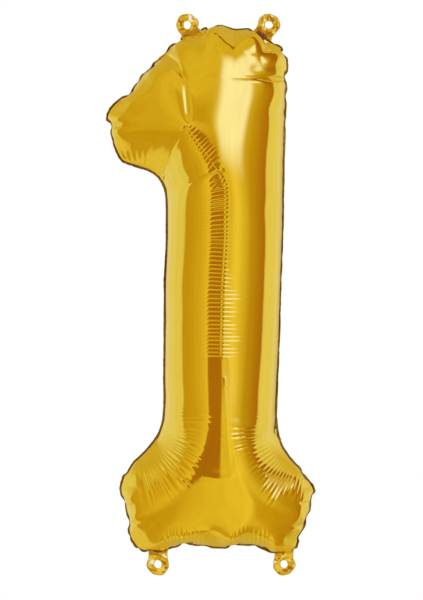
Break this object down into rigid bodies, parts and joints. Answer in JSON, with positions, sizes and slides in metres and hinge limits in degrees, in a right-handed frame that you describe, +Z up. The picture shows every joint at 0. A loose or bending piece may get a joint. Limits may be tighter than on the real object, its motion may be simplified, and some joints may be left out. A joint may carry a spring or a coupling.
{
  "type": "foil number balloon",
  "caption": "Inflated gold foil balloon in the shape of the digit one, two foil panels sealed round a flange, with punched hang tabs and a flat valve sleeve.",
  "frame": {"origin": "centre of the balloon's overall box, in the plane of the seal", "axes": "+Z up the digit, front face towards -Y, +X to the viewer's right as the digit is read from the front"},
  "size_m": [0.156, 0.092, 0.421],
  "materials": {
    "gold_foil": "gloss",
    "sealed_foil": "gloss",
    "valve_film": "satin"
  },
  "bodies": {
    "balloon_body": {"front_panel": "gold_foil", "back_panel": "gold_foil", "rim_seal": "sealed_foil"},
    "top_left_tab": {"hang_tab_top_left": "sealed_foil"},
    "top_right_tab": {"hang_tab_top_right": "sealed_foil"},
    "bottom_left_tab": {"hang_tab_bottom_left": "sealed_foil"},
    "bottom_right_tab": {"hang_tab_bottom_right": "sealed_foil"},
    "valve_sleeve": {"valve_front_film": "valve_film", "valve_back_film": "valve_film"}
  },
  "joints": [
    {"name": "top_left_tab_fold", "type": "hinge", "parent": "balloon_body", "child": "top_left_tab", "pos_m": [-0.0149, 0, 0.1973], "axis": [0.9205, 0, 0.3907], "range_deg": [-80, 80], "stiffness_Nm_per_rad": 0.00002},
    {"name": "top_right_tab_fold", "type": "hinge", "parent": "balloon_body", "child": "top_right_tab", "pos_m": [0.04023, 0, 0.19583], "axis": [0.8572, 0, -0.515], "range_deg": [-80, 80], "stiffness_Nm_per_rad": 0.00002},
    {"name": "bottom_left_tab_fold", "type": "hinge", "parent": "balloon_body", "child": "bottom_left_tab", "pos_m": [-0.039, 0, -0.1928], "axis": [-1, 0, 0], "range_deg": [-80, 80], "stiffness_Nm_per_rad": 0.00002},
    {"name": "bottom_right_tab_fold", "type": "hinge", "parent": "balloon_body", "child": "bottom_right_tab", "pos_m": [0.0555, 0, -0.1928], "axis": [-1, 0, 0], "range_deg": [-80, 80], "stiffness_Nm_per_rad": 0.00002},
    {"name": "valve_sleeve_swing", "type": "hinge", "parent": "balloon_body", "child": "valve_sleeve", "pos_m": [0.03929, 0, 0.19193], "axis": [0.8387, 0, -0.5446], "range_deg": [-8, 8], "stiffness_Nm_per_rad": 0.00001}
  ]
}
